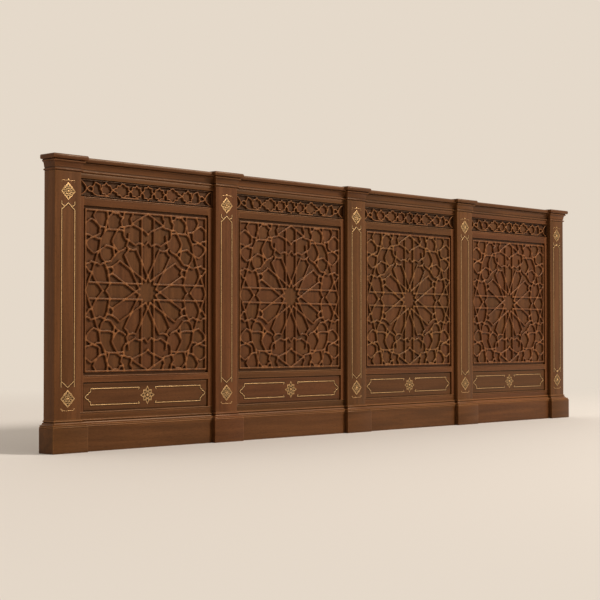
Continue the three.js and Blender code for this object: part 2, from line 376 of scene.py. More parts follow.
class Work:
    def __init__(self):
        self.points = []
        self.faces = []
        self.tones = []
        self.finishes = []

    def add(self, points, faces, tone=0.5, finish=0):
        start = len(self.points)
        self.points += [tuple(p) for p in points]
        self.faces += [tuple(start + i for i in face) for face in faces]
        self.tones += list(tone) if isinstance(tone, (list, tuple)) else [tone] * len(faces)
        self.finishes += list(finish) if isinstance(finish, (list, tuple)) else [finish] * len(faces)

    def addMesh(self, mesh, matrix=Matrix.Identity(4), tone=0.5, finish=0):
        points = [matrix @ v.co for v in mesh.vertices]
        self.add(points, [tuple(p.vertices) for p in mesh.polygons], tone, finish)
        bpy.data.meshes.remove(mesh)

    def piece(self, name, cadNode, finishes, crease=38):
        mesh = bpy.data.meshes.new(name)
        mesh.from_pydata(self.points, [], self.faces)
        for finish in finishes:
            mesh.materials.append(finish)
        mesh.polygons.foreach_set("material_index", self.finishes)
        layer = mesh.attributes.new("tone", "FLOAT", "FACE")
        layer.data.foreach_set("value", self.tones)
        shell = bmesh.new()
        shell.from_mesh(mesh)
        bmesh.ops.recalc_face_normals(shell, faces=shell.faces)
        shell.to_mesh(mesh)
        shell.free()
        mesh.polygons.foreach_set("use_smooth", [True] * len(mesh.polygons))
        mesh.set_sharp_from_angle(angle=math.radians(crease))
        made = bpy.data.objects.new(name, mesh)
        bpy.context.scene.collection.objects.link(made)
        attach(made, "root")
        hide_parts(cadNode)
        return made


def arc(across, up, radius, start, stop, steps):
    turns = [math.radians(start + (stop - start) * k / steps) for k in range(steps + 1)]
    return [(across + radius * math.cos(a), up + radius * math.sin(a)) for a in turns]


# Bands above the given height take the second finish, a lighter copy of the walnut as painted highlight; end
# faces the first
def bandFinishes(levels, sides, highlightedBandsFrom):
    return [int(z >= highlightedBandsFrom) for _, z in levels[:-1] for _ in range(sides)] + [0, 0]


# A moulded run: each level has its own reach forward, and its ends are cut to fit what it meets
def run(work, levels, face, back, leftEnd, rightEnd, tone, highlightedBandsFrom=math.inf):
    points = []
    for out, z in levels:
        left, right = leftEnd(z), rightEnd(z)
        points += [(left, face - out, z), (right, face - out, z), (right, back, z), (left, back, z)]
    faces = []
    for k in range(len(levels) - 1):
        a = 4 * k
        faces += [(a + i, a + (i + 1) % 4, a + 4 + (i + 1) % 4, a + 4 + i) for i in range(4)]
    last = 4 * (len(levels) - 1)
    faces += [(3, 2, 1, 0), (last, last + 1, last + 2, last + 3)]
    work.add(points, faces, tone, bandFinishes(levels, 4, highlightedBandsFrom))


def easedEnds(low, high, ease):
    return [(-ease, low), (0, low + ease), (0, high - ease), (-ease, high)]


# A block moulded on three sides, with its front corners eased
def block(work, levels, low, high, tone, ease=1.2 * mm, steps=3, highlightedBandsFrom=math.inf):
    x0, y0, x1, y1 = low[0], low[1], high[0], high[1]
    points = []
    count = 2 * (steps + 1) + 2
    for out, z in levels:
        left, right, front = x0 - out, x1 + out, y0 - out
        points.append((left, y1, z))
        for k in range(steps + 1):
            a = math.pi + (math.pi / 2) * k / steps
            points.append((left + ease + ease * math.cos(a), front + ease + ease * math.sin(a), z))
        for k in range(steps + 1):
            a = 1.5 * math.pi + (math.pi / 2) * k / steps
            points.append((right - ease + ease * math.cos(a), front + ease + ease * math.sin(a), z))
        points.append((right, y1, z))
    faces = []
    for k in range(len(levels) - 1):
        a = count * k
        b = a + count
        faces += [(a + i, a + (i + 1) % count, b + (i + 1) % count, b + i) for i in range(count)]
    last = count * (len(levels) - 1)
    faces += [tuple(reversed(range(count))), tuple(last + i for i in range(count))]
    work.add(points, faces, tone, bandFinishes(levels, count, highlightedBandsFrom))


def reachAt(levels, z):
    best = levels[0][0]
    for (a, za), (b, zb) in zip(levels, levels[1:]):
        if za <= z <= zb:
            share = (z - za) / max(zb - za, 1e-9)
            return a + (b - a) * share
        if z > zb:
            best = b
    return best


# Geometry node trees

def socketKey(tree, name):
    return next(s.identifier for s in tree.interface.items_tree if s.name == name and s.in_out == "INPUT")


def nodeTree(name, inputs):
    tree = bpy.data.node_groups.new(name, "GeometryNodeTree")
    tree.interface.new_socket("Geometry", in_out="INPUT", socket_type="NodeSocketGeometry")
    for label, kind in inputs:
        tree.interface.new_socket(label, in_out="INPUT", socket_type="NodeSocket" + kind)
    tree.interface.new_socket("Geometry", in_out="OUTPUT", socket_type="NodeSocketGeometry")
    return tree, tree.nodes.new("NodeGroupInput"), tree.nodes.new("NodeGroupOutput")


def runTree(tree, mesh, values):
    holder = bpy.data.objects.new("bench", mesh)
    bpy.context.scene.collection.objects.link(holder)
    modifier = holder.modifiers.new("work", "NODES")
    modifier.node_group = tree
    for label, value in values.items():
        modifier[socketKey(tree, label)] = value
    graph = bpy.context.evaluated_depsgraph_get()
    result = bpy.data.meshes.new_from_object(holder.evaluated_get(graph))
    holder.modifiers.remove(modifier)
    bpy.data.objects.remove(holder)
    bpy.data.meshes.remove(mesh)
    return result


# Straps: drawn lines swept with a rounded section, standing on a board that faces the room
def strapTree():
    tree, given, result = nodeTree("straps", [
        ("Width", "Float"), ("Top Width", "Float"), ("Depth", "Float"), ("Bend Radius", "Float"),
        ("Edge Radius", "Float"), ("Board Face", "Float"), ("Sunk", "Float"),
        ("Wander", "Float"), ("Seed", "Int"), ("Finish", "Material"),
    ])
    scatter = node(tree, "FunctionNodeRandomValue", data_type="FLOAT_VECTOR")
    wire(tree, given.outputs["Seed"], scatter.inputs["Seed"])
    low = node(tree, "ShaderNodeMath", operation="MULTIPLY")
    low.inputs[1].default_value = -1
    wire(tree, given.outputs["Wander"], low.inputs[0])
    for source, slot in ((low.outputs[0], "Min"), (given.outputs["Wander"], "Max")):
        spread = node(tree, "ShaderNodeCombineXYZ")
        wire(tree, source, spread.inputs[0])
        wire(tree, source, spread.inputs[1])
        wire(tree, spread.outputs[0], scatter.inputs[slot])
    shift = node(tree, "GeometryNodeSetPosition")
    wire(tree, given.outputs["Geometry"], shift.inputs["Geometry"])
    wire(tree, scatter.outputs["Value"], shift.inputs["Offset"])
    lines = node(tree, "GeometryNodeMeshToCurve")
    wire(tree, shift.outputs["Geometry"], lines.inputs["Mesh"])
    bends = node(tree, "GeometryNodeFilletCurve", mode="POLY")
    give(bends, {"Count": 2, "Limit Radius": True})
    wire(tree, lines.outputs["Curve"], bends.inputs["Curve"])
    wire(tree, given.outputs["Bend Radius"], bends.inputs["Radius"])
    level = node(tree, "GeometryNodeSetCurveNormal", mode="Z_UP")
    wire(tree, bends.outputs["Curve"], level.inputs["Curve"])

    section = node(tree, "GeometryNodeCurvePrimitiveQuadrilateral", mode="TRAPEZOID")
    section.inputs["Offset"].default_value = 0
    whole = node(tree, "ShaderNodeMath", operation="ADD")
    wire(tree, given.outputs["Depth"], whole.inputs[0])
    wire(tree, given.outputs["Sunk"], whole.inputs[1])
    wire(tree, whole.outputs[0], section.inputs["Height"])
    wire(tree, given.outputs["Width"], section.inputs["Bottom Width"])
    wire(tree, given.outputs["Top Width"], section.inputs["Top Width"])
    rounded = node(tree, "GeometryNodeFilletCurve", mode="POLY")
    give(rounded, {"Count": 2, "Limit Radius": True})
    wire(tree, section.outputs["Curve"], rounded.inputs["Curve"])
    wire(tree, given.outputs["Edge Radius"], rounded.inputs["Radius"])
    half = node(tree, "ShaderNodeMath", operation="MULTIPLY")
    half.inputs[1].default_value = 0.5
    wire(tree, whole.outputs[0], half.inputs[0])
    rise = node(tree, "ShaderNodeMath", operation="SUBTRACT")
    wire(tree, given.outputs["Sunk"], rise.inputs[0])
    wire(tree, half.outputs[0], rise.inputs[1])
    lift = node(tree, "ShaderNodeCombineXYZ")
    wire(tree, rise.outputs[0], lift.inputs[1])
    seat = node(tree, "GeometryNodeTransform")
    seat.inputs["Rotation"].default_value = (math.pi, 0, 0)  # a section's own up points into the board
    wire(tree, rounded.outputs["Curve"], seat.inputs["Geometry"])
    wire(tree, lift.outputs[0], seat.inputs["Translation"])

    sweep = node(tree, "GeometryNodeCurveToMesh")
    sweep.inputs["Fill Caps"].default_value = True
    wire(tree, level.outputs["Curve"], sweep.inputs["Curve"])
    wire(tree, seat.outputs["Geometry"], sweep.inputs["Profile Curve"])
    stand = node(tree, "GeometryNodeTransform")
    stand.inputs["Rotation"].default_value = (math.pi / 2, 0, 0)
    back = node(tree, "ShaderNodeCombineXYZ")
    wire(tree, given.outputs["Board Face"], back.inputs[1])
    wire(tree, sweep.outputs["Mesh"], stand.inputs["Geometry"])
    wire(tree, back.outputs[0], stand.inputs["Translation"])
    real = node(tree, "GeometryNodeRealizeInstances")
    wire(tree, stand.outputs["Geometry"], real.inputs["Geometry"])
    coat = node(tree, "GeometryNodeSetMaterial")
    wire(tree, real.outputs["Geometry"], coat.inputs["Geometry"])
    wire(tree, given.outputs["Finish"], coat.inputs["Material"])
    wire(tree, coat.outputs["Geometry"], result.inputs["Geometry"])
    return tree


# A flower: petals round a boss, all standing on the board's face
def flowerTree():
    tree, given, result = nodeTree("flower", [
        ("Petals", "Int"), ("Petal Middle", "Float"), ("Petal Length", "Float"), ("Petal Width", "Float"),
        ("Petal Rise", "Float"), ("Boss Radius", "Float"), ("Boss Rise", "Float"), ("First Turn", "Float"),
        ("Place", "Vector"), ("Finish", "Material"),
    ])
    ring = node(tree, "GeometryNodeMeshCircle", fill_type="NONE")
    wire(tree, given.outputs["Petals"], ring.inputs["Vertices"])
    wire(tree, given.outputs["Petal Middle"], ring.inputs["Radius"])
    index = node(tree, "GeometryNodeInputIndex")
    step = node(tree, "ShaderNodeMath", operation="DIVIDE")
    step.inputs[0].default_value = 2 * math.pi
    wire(tree, given.outputs["Petals"], step.inputs[1])
    turn = node(tree, "ShaderNodeMath", operation="MULTIPLY")
    wire(tree, index.outputs[0], turn.inputs[0])
    wire(tree, step.outputs[0], turn.inputs[1])
    spin = node(tree, "ShaderNodeCombineXYZ")
    wire(tree, turn.outputs[0], spin.inputs[2])
    petal = node(tree, "GeometryNodeMeshUVSphere")
    give(petal, {"Segments": 10, "Rings": 6, "Radius": 0.5})
    size = node(tree, "ShaderNodeCombineXYZ")
    for label, slot in (("Petal Length", 0), ("Petal Width", 1), ("Petal Rise", 2)):
        wire(tree, given.outputs[label], size.inputs[slot])
    shaped = node(tree, "GeometryNodeTransform")
    wire(tree, petal.outputs["Mesh"], shaped.inputs["Geometry"])
    wire(tree, size.outputs[0], shaped.inputs["Scale"])
    copies = node(tree, "GeometryNodeInstanceOnPoints")
    wire(tree, ring.outputs["Mesh"], copies.inputs["Points"])
    wire(tree, shaped.outputs["Geometry"], copies.inputs["Instance"])
    wire(tree, spin.outputs[0], copies.inputs["Rotation"])
    boss = node(tree, "GeometryNodeMeshUVSphere")
    give(boss, {"Segments": 12, "Rings": 7, "Radius": 1})
    bossSize = node(tree, "ShaderNodeCombineXYZ")
    for label, slot in (("Boss Radius", 0), ("Boss Radius", 1), ("Boss Rise", 2)):
        wire(tree, given.outputs[label], bossSize.inputs[slot])
    bossShaped = node(tree, "GeometryNodeTransform")
    wire(tree, boss.outputs["Mesh"], bossShaped.inputs["Geometry"])
    wire(tree, bossSize.outputs[0], bossShaped.inputs["Scale"])
    join = node(tree, "GeometryNodeJoinGeometry")
    wire(tree, bossShaped.outputs["Geometry"], join.inputs[0])
    wire(tree, copies.outputs["Instances"], join.inputs[0])
    real = node(tree, "GeometryNodeRealizeInstances")
    wire(tree, join.outputs[0], real.inputs["Geometry"])
    around = node(tree, "ShaderNodeCombineXYZ")
    wire(tree, given.outputs["First Turn"], around.inputs[2])
    twist = node(tree, "GeometryNodeTransform")
    wire(tree, real.outputs["Geometry"], twist.inputs["Geometry"])
    wire(tree, around.outputs[0], twist.inputs["Rotation"])
    stand = node(tree, "GeometryNodeTransform")
    stand.inputs["Rotation"].default_value = (math.pi / 2, 0, 0)
    wire(tree, twist.outputs["Geometry"], stand.inputs["Geometry"])
    wire(tree, given.outputs["Place"], stand.inputs["Translation"])
    coat = node(tree, "GeometryNodeSetMaterial")
    wire(tree, stand.outputs["Geometry"], coat.inputs["Geometry"])
    wire(tree, given.outputs["Finish"], coat.inputs["Material"])
    wire(tree, coat.outputs["Geometry"], result.inputs["Geometry"])
    return tree


straps = strapTree()
flower = flowerTree()
print("node trees ready")


# Lines as a mesh of edges, each end run a little past its last knot
def lineMesh(runs, extend, lifts=None):
    points, edges = [], []
    for number, knots in enumerate(runs):
        knots = [Vector(k) for k in knots]
        closed = (knots[0] - knots[-1]).length < 1e-6
        if closed:
            knots.pop()
        elif extend:
            knots[0] = knots[0] + (knots[0] - knots[1]).normalized() * extend
            knots[-1] = knots[-1] + (knots[-1] - knots[-2]).normalized() * extend
        start = len(points)
        lift = lifts[number] if lifts else 0
        points += [(k.x, k.y, lift) for k in knots]
        edges += [(start + i, start + i + 1) for i in range(len(knots) - 1)]
        if closed:
            edges.append((len(points) - 1, start))
    mesh = bpy.data.meshes.new("lines")
    mesh.from_pydata(points, edges, [])
    return mesh


def mirrored(runs, ways=((1, 1), (-1, 1), (1, -1), (-1, -1))):
    made = []
    for knots in runs:
        seen = set()
        for mx, my in ways:
            copy = tuple((round(x * mx, 6) + 0.0, round(y * my, 6) + 0.0) for x, y in knots)
            if copy in seen or copy[::-1] in seen:
                continue
            seen.add(copy)
            made.append(list(copy))
    return made


# The carved panels
lattice = {
    "reach": 332 * mm,
    "strapWidth": 11.4 * mm,
    "strapTop": 8.0 * mm,
    "bendRadius": 2.2 * mm,
    "edgeRadius": 2.3 * mm,
    "sunk": 1.5 * mm,
    "wander": 0.45 * mm,
    "liftSpread": 0.35 * mm,
    "borderWidth": 11.0 * mm,
    "strapDepth": 9 * mm,
    "extend": 3.5 * mm,
    "edgeSlack": 0.5 * mm,
    "borderBend": 0.4 * mm,
    "drawnIn": 0.05,  # what is left of a strap's run past its border
}

# One quarter of the lattice, in parts of its reach, mirrored to the other three
quarterRuns = [
    [(0.1, 0.1), (0.935, 0.1)],  # the rays
    [(0.1, 0.1), (0.1, 0.935)],
    [(0.1366, -0.0366), (0.580, 0.2185), (0.557, 0.258), (0.584, 0.303), (0.510, 0.343), (0.4635, 0.384),
     (0.0366, 0.1366)],
    [(0.1366, 0.0366), (0.3816, 0.461), (0.337, 0.497), (0.312, 0.541), (0.245, 0.528), (0.194, 0.5425),
     (-0.0366, 0.1366)],
    [(0.615, -0.1), (0.636, -0.043), (0.682, 0), (0.636, 0.043), (0.615, 0.1)],
    [(-0.1, 0.605), (-0.055, 0.588), (0, 0.645), (0.055, 0.588), (0.1, 0.605)],
    [(1.008, 0), (0.956, 0.105), (0.899, 0.226), (0.852, 0.343), (0.816, 0.45),  # great ring
     (0.784, 0.507),
     (0.770, 0.575), (0.764, 0.64), (0.728, 0.688), (0.701, 0.737), (0.684, 0.79)],
    [(0, 1.010), (0.039, 0.978), (0.104, 0.9455), (0.183, 0.905), (0.248, 0.866), (0.282, 0.830),
     (0.335, 0.828), (0.392, 0.809), (0.456, 0.809), (0.4925, 0.774), (0.58, 0.770), (0.65, 0.770),
     (0.695, 0.752)],
    [(0.399, 0.7656), (0.4925, 0.774)],
    [(0.728, 0), (0.7945, 0.076), (0.835, 0.115), (0.899, 0.226)],
    [(0, 0.735), (0.046, 0.776), (0.104, 0.798), (0.2335, 0.846), (0.265, 0.853)],
    [(0.618, 0.1), (0.636, 0.19), (0.648, 0.255), (0.678, 0.318), (0.708, 0.348), (0.74, 0.338),
     (0.773, 0.320),
     (0.82, 0.343), (0.852, 0.343)],
    [(0.580, 0.2185), (0.638, 0.195)],
    [(0.584, 0.303), (0.66, 0.292)],
    [(0.1, 0.613), (0.154, 0.617), (0.2115, 0.593), (0.262, 0.621), (0.3195, 0.650), (0.363, 0.664),
     (0.393, 0.705), (0.395, 0.755), (0.392, 0.809)],
    [(0.3195, 0.650), (0.3088, 0.729)],
    [(0.3195, 0.650), (0.350, 0.575), (0.312, 0.541)],
    [(0.375, 0.545), (0.399, 0.5245), (0.478, 0.4965), (0.528, 0.537), (0.560, 0.580), (0.578, 0.625),
     (0.565, 0.662), (0.4925, 0.774)],
    [(0.478, 0.4965), (0.520, 0.465), (0.564, 0.420), (0.604, 0.373), (0.65, 0.362), (0.682, 0.362),
     (0.708, 0.348)],
    [(0.558, 0.575), (0.557, 0.500), (0.540, 0.448)],
    [(0.692, 0.357), (0.744, 0.406), (0.760, 0.445), (0.776, 0.505)],
    [(0.42, 0.815), (0.440, 0.884), (0.4025, 0.931), (0.456, 0.9455), (0.479, 0.984), (0.53, 0.978),
     (0.577, 0.990),
     (0.593, 0.960), (0.643, 0.924), (0.661, 0.873), (0.6326, 0.785)],
    [(0.661, 0.873), (0.684, 0.79)],
    [(0.648, 0.922), (0.658, 0.998)],
    [(0.4025, 0.931), (0.388, 1.0)],
    [(0.251, 0.998), (0.257, 0.953), (0.287, 0.922), (0.262, 0.868)],
    [(0.684, 0.79), (0.7585, 0.798), (0.7945, 0.816), (0.834, 0.852), (0.874, 0.931), (0.834, 0.996)],
    [(0.772, 0.803), (0.780, 0.751), (0.7765, 0.715), (0.809, 0.690), (0.859, 0.672), (0.915, 0.652),
     (0.996, 0.607)],
    [(0.895, 0.662), (0.9385, 0.686), (0.996, 0.693)],
    [(0.834, 0.852), (0.9025, 0.888), (0.931, 0.880), (0.996, 0.838)],
    [(0.766, 0.647), (0.823, 0.650), (0.859, 0.672)],
    [(0.795, 0.490), (0.8737, 0.464), (0.917, 0.492), (0.967, 0.535), (0.989, 0.5785), (0.985, 0.612)],
    [(0.852, 0.343), (0.917, 0.363), (0.9457, 0.336), (0.996, 0.3267)],
    [(0.899, 0.226), (0.945, 0.236), (0.970, 0.272), (0.996, 0.292)],
]
upperRuns = [
    [(0.528, 0.537), (0.564, 0.5425), (0.629, 0.560), (0.66, 0.568), (0.687, 0.564), (0.715, 0.537),
     (0.774, 0.507)],
]
lowerRuns = [
    [(0.528, -0.537), (0.575, -0.512), (0.64, -0.500), (0.70, -0.502), (0.776, -0.500)],
]


# Splits a board's face along the straps' middle lines, and numbers the cells
def boardCells(runs, outline):
    points = [Vector(p) for p in outline]
    edges = [(i, (i + 1) % len(outline)) for i in range(len(outline))]
    for knots in runs:
        start = len(points)
        points += [Vector(k) for k in knots]
        edges += [(start + i, start + i + 1) for i in range(len(knots) - 1)]
    made = delaunay_2d_cdt(points, edges, [tuple(range(len(outline)))], 1, 1e-6)
    flat, cuts, triangles, cutSources = made[0], made[1], made[2], made[4]
    walls = {tuple(sorted(edge)) for edge, source in zip(cuts, cutSources) if source}
    sides = {}
    for number, triangle in enumerate(triangles):
        for i in range(3):
            sides.setdefault(tuple(sorted((triangle[i], triangle[(i + 1) % 3]))), []).append(number)
    cell = [-1] * len(triangles)
    count = 0
    for first in range(len(triangles)):
        if cell[first] >= 0:
            continue
        waiting = [first]
        cell[first] = count
        while waiting:
            triangle = triangles[waiting.pop()]
            for i in range(3):
                side = tuple(sorted((triangle[i], triangle[(i + 1) % 3])))
                if side in walls:
                    continue
                for other in sides[side]:
                    if cell[other] < 0:
                        cell[other] = count
                        waiting.append(other)
        count += 1
    return flat, triangles, cell, count


# A strap that reaches past the middle of its border is drawn in under it
def heldIn(value, middle, limit):
    past = abs(value - middle) - limit
    return value - math.copysign(past * (1 - lattice["drawnIn"]), value - middle) if past > 0 else value


def carvedPiece(name, cadNode, runs, width, topWidth, depth, seed, borderX, borderZ, borderWidth, grain,
                bend=None, shadeOuterCells=False):
    low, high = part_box(cadNode)
    x, z = (low.x + high.x) / 2, (low.z + high.z) / 2
    chance = random.Random(seed)
    face = low.y + depth
    ways = ((-1, -1), (1, -1), (1, 1), (-1, 1), (-1, -1))
    placed = [[(x + a, z + b) for a, b in knots] for knots in runs]
    placedBorder = [(x + a * borderX, z + b * borderZ) for a, b in ways]
    outline = [(low.x, low.z), (high.x, low.z), (high.x, high.z), (low.x, high.z)]
    flat, triangles, cell, count = boardCells(placed + [placedBorder], outline)
    tones = [chance.random() for _ in range(count)]
    edge = borderZ - lattice["edgeSlack"]
    edgeCells = {
        c for triangle, c in zip(triangles, cell) if any(abs(flat[i].y - z) > edge for i in triangle)
    }
    work = Work()
    # painted shade: a frieze's outer cells and border strap take the dark walnut
    cellFinishes = [2 * (shadeOuterCells and c in edgeCells) for c in cell]
    work.add([(p.x, face, p.y) for p in flat], triangles, [tones[c] for c in cell], cellFinishes)
    rim = [(px, face, pz) for px, pz in outline] + [(px, high.y, pz) for px, pz in outline]
    sides = [(i, (i + 1) % 4, 4 + (i + 1) % 4, 4 + i) for i in range(4)]
    work.add(rim, sides + [(4, 5, 6, 7)], chance.random(), 0)
    lifts = [chance.uniform(-1, 0) * lattice["liftSpread"] for _ in placed]
    settings = {
        "Width": width, "Top Width": topWidth, "Depth": depth, "Bend Radius": bend or lattice["bendRadius"],
        "Edge Radius": lattice["edgeRadius"] * width / lattice["strapWidth"], "Board Face": face,
        "Sunk": lattice["sunk"], "Wander": lattice["wander"], "Seed": seed, "Finish": grain,
    }
    swept = runTree(straps, lineMesh(placed, lattice["extend"], lifts), settings)
    for vertex in swept.vertices:
        vertex.co.x = heldIn(vertex.co.x, x, borderX)
        vertex.co.z = heldIn(vertex.co.z, z, borderZ)
    work.addMesh(swept, tone=chance.random(), finish=1)
    settings.update({
        "Width": borderWidth, "Top Width": borderWidth * topWidth / width, "Wander": 0.0,
        "Bend Radius": lattice["borderBend"],
    })
    framed = runTree(straps, lineMesh([placedBorder], 0), settings)
    work.addMesh(framed, tone=chance.random(), finish=2 if shadeOuterCells else 1)
    return work.piece(name, cadNode, [groundWalnut, grain] + [shadedCellWalnut] * shadeOuterCells, 50)


latticeRuns = mirrored(quarterRuns) + mirrored(upperRuns + lowerRuns, ((1, 1), (-1, 1)))
reach = lattice["reach"]
latticeRuns = [[(a * reach, b * reach) for a, b in knots] for knots in latticeRuns]
for bay in bayNumbers:
    carvedPiece(
        f"carved_panel_{bay}", f"main_panel_{bay}", latticeRuns, lattice["strapWidth"], lattice["strapTop"],
        lattice["strapDepth"], 40 + bay, reach, reach, lattice["borderWidth"], strapWalnut,
    )
print("carved panels ready")

# The friezes
friezeWork = {
    "strapWidth": 7.2 * mm,
    "strapTop": 4.8 * mm,
    "borderIn": 4.6 * mm,
    "borderWidth": 4.4 * mm,
    "bendRadius": 0.8 * mm,
    "waveLine": [
        (0, 34), (6.5, 22.5), (20.5, 22), (21.5, 7.5), (33, 0), (41, -6), (42.5, -18), (54, -18.5),
        (62.5, -27), (71, -18.5), (85, -18.5), (86.5, -6.5), (97, 0), (106.5, 5.5), (107.5, 18), (121, 19),
        (131, 28.5), (144, 28.5), (152, 19), (165.5, 19), (169, 8.5), (180, 6.5), (189, 0),
    ],
    "fourthRing": [
        (189, 0), (198, 4), (203.5, 15), (216, 17.5), (226, 27.5), (234, 17.5), (248, 16), (247.5, 4),
        (255, -2), (247.5, -8), (246, -20), (233, -19.5), (222, -27.5), (214, -18.5), (202, -17),
        (198.5, -6), (189, 0),
    ],
    "lines": [
        [(254.5, 4), (257.5, 15.5), (272, 22), (284, 26), (288.5, 14), (297, 5.5), (293, -4), (298.5, -14),
         (288.5, -24), (272.5, -28), (243, -28), (214, -28)],
        [(297, 5.5), (310.5, 8.5), (320, 3), (327, -2), (333, -14), (345, -24), (360, -33)],
        [(298.5, -14), (315, -12), (327, -2), (333, 9), (348, 24), (363, 33)],
        [(57, -28), (128, -28.5)],
    ],
}

wave = friezeWork["waveLine"]
chain = [wave, [(a, -b) for a, b in wave], friezeWork["fourthRing"]] + friezeWork["lines"]
chain = [[(way * a * mm, b * mm) for a, b in knots] for knots in chain for way in (1, -1)]
for bay in bayNumbers:
    low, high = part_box(f"frieze_{bay}")
    margin = friezeWork["borderIn"]
    carvedPiece(
        f"frieze_panel_{bay}", f"frieze_{bay}", chain, friezeWork["strapWidth"], friezeWork["strapTop"],
        lattice["strapDepth"], 60 + bay, (high.x - low.x) / 2 - margin, (high.z - low.z) / 2 - margin,
        friezeWork["borderWidth"], friezeStraps, friezeWork["bendRadius"], True,
    )
print("friezes ready")

# Posts, capitals and plinth blocks
capitalShape = {  # reach forward and height above the capital's foot, in mm
    "neck": 0.3,
    "beadMiddle": 6.4,
    "beadRadius": 3.6,
    "fasciaFoot": 10.0,
    "fasciaTop": 15.5,
    "coveStart": 2.4,
    "coveReach": 8.4,
    "coveTop": 37.5,
    "filletReach": 12.4,
    "filletHeight": 3.4,
    "grooveReach": 10.4,
    "torusReach": 22,
    "torusRound": 6.5,
    "postTorusFoot": 47,
    "bayTorusFoot": 43,
}
plinthShape = {  # heights of the moulding are above its plain part
    "reach": 22,
    "plainTop": 101,
    "footBead": 2.7,
    "roll": 2.6,
    "coveFoot": 12.2,
    "coveHeight": 9.4,
    "coveFrom": 6.4,
    "coveReach": 10.0,
    "topBead": 2.7,
}
postShape = {
    "ease": 2.0 * mm,
    "endEase": 0.6 * mm,
}


def capitalLevels(foot, top, torusFoot):
    shape = capitalShape
    fillet = torusFoot - shape["filletHeight"]
    fasciaFoot, fasciaTop, coveTop = shape["fasciaFoot"], shape["fasciaTop"], shape["coveTop"]
    levels = [(shape["neck"], 0), (shape["neck"], 2.6)]
    levels += arc(2.6, shape["beadMiddle"], shape["beadRadius"], -85, 70, 8)
    levels += [(0.4, fasciaFoot), (0.2, fasciaFoot + 1.4), (0.2, fasciaTop)]
    for k in range(9):
        a = math.pi / 2 * k / 8
        out = shape["coveStart"] + shape["coveReach"] * (1 - math.cos(a))
        levels.append((out, fasciaTop + 0.6 + (coveTop - fasciaTop) * math.sin(a)))
    levels += [(shape["filletReach"], coveTop + 1.0), (shape["filletReach"], fillet)]
    levels += [(shape["grooveReach"], fillet + 0.5), (shape["grooveReach"] - 0.8, torusFoot)]
    height = (top - foot) / mm
    middleOf = (torusFoot + height) / 2
    half = (height - torusFoot) / 2
    for k in range(13):
        a = math.radians(-90 + 15 * k)
        bulge = abs(math.cos(a)) ** 0.62 if k not in (0, 12) else 0
        rise = math.copysign(abs(math.sin(a)) ** 0.8, math.sin(a))
        levels.append((shape["torusReach"] - shape["torusRound"] * (1 - bulge), middleOf + half * rise))
    return [(out * mm, foot + z * mm) for out, z in levels]


def plinthLevels(foot, top):
    shape = plinthShape
    full, plain = shape["reach"], shape["plainTop"]
    levels = [(full - 0.8, 0), (full, 0.8), (full, plain - 0.8), (full - 1.0, plain)]
    levels += arc(full - 2.8, plain + 2.9, shape["footBead"], -75, 80, 8)
    levels += [(full - 4.2, plain + 5.9), (full - 4.2, plain + 6.9)]
    levels += arc(full - 5.4, plain + 9.4, shape["roll"], -80, 60, 8)
    for k in range(1, 8):
        a = math.pi / 2 * k / 8
        out = shape["coveFrom"] + shape["coveReach"] * (1 - math.sin(a))
        levels.append((out, plain + shape["coveFoot"] + shape["coveHeight"] * (1 - math.cos(a))))
    levels += [(2.2, plain + 22.4), (1.2, plain + 22.9), (1.2, plain + 24.2)]
    levels += arc(2.6, plain + 26.9, shape["topBead"], -75, 75, 8)
    levels += [(0.8, plain + 30.2), (0.6, plain + 32.0)]
    height = (top - foot) / mm
    share = height / levels[-1][1]
    return [(out * mm, foot + z * share * mm) for out, z in levels]


capitals, plinths = {}, {}
for post in postNumbers:
    chance = random.Random(100 + post)
    low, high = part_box(f"post_{post}")
    work = Work()
    levels = easedEnds(low.z, high.z, postShape["endEase"])
    block(work, levels, low, high, chance.random(), postShape["ease"])
    work.piece(f"post_shaft_{post}", f"post_{post}", [uprightWalnut])

    foot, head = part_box(f"capital_{post}")
    capitals[post] = capitalLevels(foot.z, head.z, capitalShape["postTorusFoot"])
    work = Work()
    block(work, capitals[post], low, high, chance.random())
    work.piece(f"post_cap_{post}", f"capital_{post}", [levelWalnut], 30)

    foot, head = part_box(f"plinth_block_{post}")
    plinths[post] = plinthLevels(foot.z, head.z)
    work = Work()
    block(work, plinths[post], low, high, chance.random(), highlightedBandsFrom=plinthShape["plainTop"] * mm)
    work.piece(f"post_foot_{post}", f"plinth_block_{post}", [levelWalnut, highlightedBandWalnut], 30)
print("posts ready")

# Rails, stiles, base and cornice of each bay
frameShape = {
    "arris": 1.2,
    "bead": 2.8,
    "quirkDepth": 2.0,
    "quirkWidth": 1.3,
    "endEase": 0.5 * mm,
    "stileEase": 1.4 * mm,
    "fieldMargin": 5 * mm,
    "fieldDrop": 3.0 * mm,
    "fieldCrease": 12,
    "fit": 0.3 * mm,
    "railGap": 0.2 * mm,
}


def railLevels(low, high, beadLow, beadHigh):
    shape = frameShape
    r = shape["arris"]

    def edge(bead):
        if not bead:
            turns = (0, math.pi / 6, math.pi / 3, math.pi / 2)
            return [(-r * (1 - math.sin(a)), r * (1 - math.cos(a))) for a in turns]
        radius, depth, wide = shape["bead"], shape["quirkDepth"], shape["quirkWidth"]
        start, stop = 2 * radius + 0.1, 2 * radius + wide
        quirk = [(-depth, start), (-depth, stop), (-0.3, stop + 0.1), (0, stop + 0.5)]
        return arc(-radius, radius, radius, -90, 75, 8) + quirk

    lower = [(out * mm, low + z * mm) for out, z in edge(beadLow)]
    upper = [(out * mm, high - z * mm) for out, z in reversed(edge(beadHigh))]
    return lower + upper


def straight(x):
    return lambda z: x


